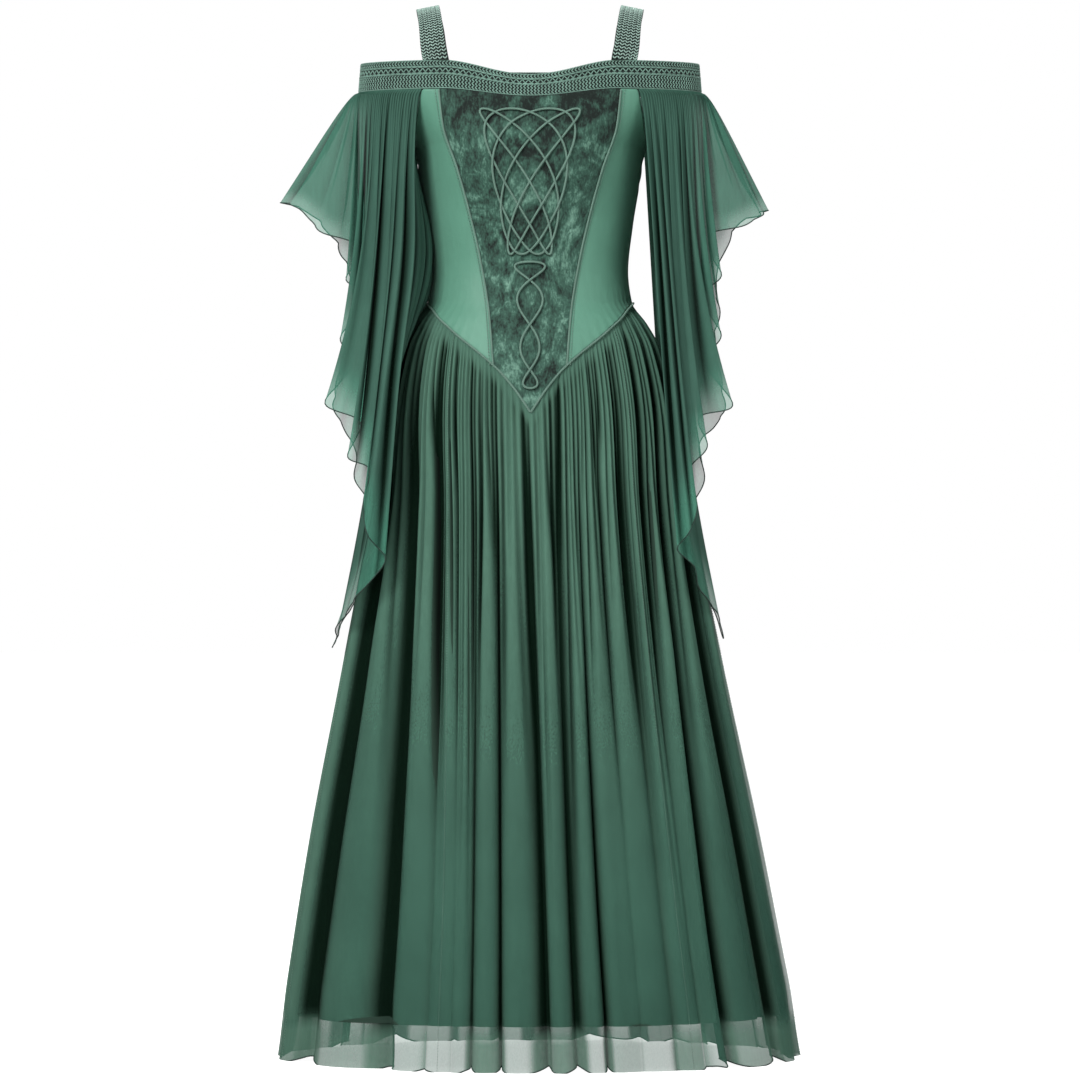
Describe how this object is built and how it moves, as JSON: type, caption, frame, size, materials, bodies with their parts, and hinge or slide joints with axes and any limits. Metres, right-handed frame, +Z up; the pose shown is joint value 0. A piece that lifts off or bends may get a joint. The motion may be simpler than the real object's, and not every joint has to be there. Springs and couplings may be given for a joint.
{
  "type": "medieval costume dress",
  "caption": "Floor-length green costume gown in its worn, hollow form: braid neckband and straps, velvet-front bodice, gathered sheer skirt and long open sleeves.",
  "frame": {"origin": "midway between the undersides of the two shoulder straps at their highest point, where the shoulders carry the dress", "axes": "+Z up, the front faces -Y, the wearer's left is at +X"},
  "size_m": [0.7058, 0.5699, 1.3968],
  "materials": {
    "velvet": "crushed velvet",
    "satin": "satin",
    "braid": "woven braid",
    "chiffon": "sheer chiffon",
    "lining": "smooth lining",
    "cord": "twisted cord"
  },
  "bodies": {
    "root": {"bodice_front_velvet": "velvet", "bodice_side_front_left": "satin", "bodice_side_front_right": "satin", "bodice_back_left": "satin", "bodice_back_right": "satin", "neckband": "braid", "strap_right": "braid", "strap_left": "braid", "skirt_front_centre": "chiffon", "skirt_front_left": "chiffon", "skirt_back_left": "chiffon", "skirt_back_centre": "chiffon", "skirt_back_right": "chiffon", "skirt_front_right": "chiffon", "lining_front": "lining", "lining_left": "lining", "lining_back": "lining", "lining_right": "lining", "sleeve_right": "chiffon", "sleeve_left": "chiffon", "piping_waist": "cord", "piping_front_left": "cord", "piping_front_right": "cord", "interlace_upper": "cord", "interlace_lower": "cord"}
  },
  "joints": []
}
